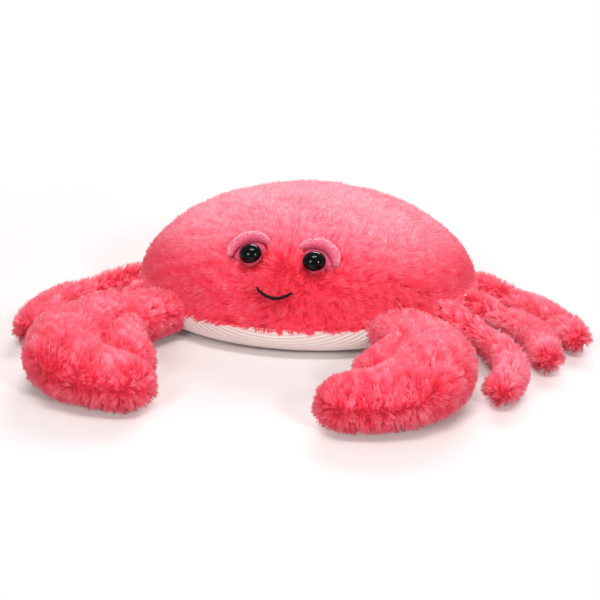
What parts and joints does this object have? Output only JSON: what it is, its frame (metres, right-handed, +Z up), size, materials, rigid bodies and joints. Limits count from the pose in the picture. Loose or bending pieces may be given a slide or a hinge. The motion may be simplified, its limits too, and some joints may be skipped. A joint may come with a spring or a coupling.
{
  "type": "plush crab",
  "caption": "Plush crab with a long-pile domed body, ribbed fabric belly, curled claws, soft jointed legs, glossy safety eyes with padded eyelids and an embroidered smile.",
  "frame": {"origin": "middle of the flat patch that the belly rests on", "axes": "+Z up, -Y the way the face looks, +X the crab's own left"},
  "size_m": [0.3177, 0.296, 0.0711],
  "materials": {
    "pile_fabric": "long soft pile",
    "short_pile": "short soft pile",
    "ribbed_fabric": "ribbed cord fabric",
    "fibre": "loose fibre",
    "eye_plastic": "gloss",
    "washer_plastic": "matt",
    "thread": "satin embroidery thread"
  },
  "bodies": {
    "root": {"carapace_cover": "pile_fabric", "belly_panel": "ribbed_fabric", "body_filling": "fibre", "claw_left_cover": "pile_fabric", "claw_left_filling": "fibre", "claw_right_cover": "pile_fabric", "claw_right_filling": "fibre", "leg_left_front_cover": "pile_fabric", "leg_left_front_filling": "fibre", "leg_left_middle_cover": "pile_fabric", "leg_left_middle_filling": "fibre", "leg_left_rear_cover": "pile_fabric", "leg_left_rear_filling": "fibre", "leg_right_front_cover": "pile_fabric", "leg_right_front_filling": "fibre", "leg_right_middle_cover": "pile_fabric", "leg_right_middle_filling": "fibre", "leg_right_rear_cover": "pile_fabric", "leg_right_rear_filling": "fibre", "eye_left": "eye_plastic", "eye_washer_left": "washer_plastic", "eye_patch_left": "short_pile", "eyelid_left": "short_pile", "eye_right": "eye_plastic", "eye_washer_right": "washer_plastic", "eye_patch_right": "short_pile", "eyelid_right": "short_pile", "smile_thread": "thread"}
  },
  "joints": []
}
